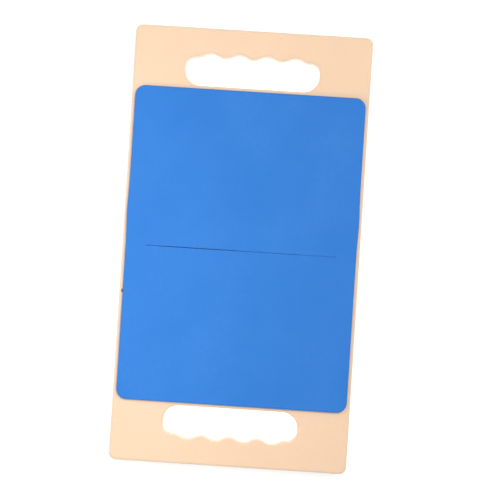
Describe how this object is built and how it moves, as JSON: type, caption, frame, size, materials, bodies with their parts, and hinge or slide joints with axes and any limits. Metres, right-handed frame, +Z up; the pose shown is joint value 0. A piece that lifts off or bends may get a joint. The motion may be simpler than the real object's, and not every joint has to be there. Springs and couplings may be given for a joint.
{
  "type": "kickboard float",
  "caption": "Flat closed-cell foam kickboard with a finger-grip hand hole at each end and a foam pad bonded to its top face.",
  "frame": {"origin": "the middle of the underside, on the surface that the board lies on", "axes": "+Z up through the pad, +Y along the length from hand hole to hand hole, +X across the width"},
  "size_m": [0.207, 0.38, 0.0232],
  "materials": {
    "board_foam": "matte",
    "pad_foam": "matte",
    "adhesive": "satin"
  },
  "bodies": {
    "root": {"foam_board": "board_foam", "adhesive_film": "adhesive", "deck_pad": "pad_foam"}
  },
  "joints": []
}
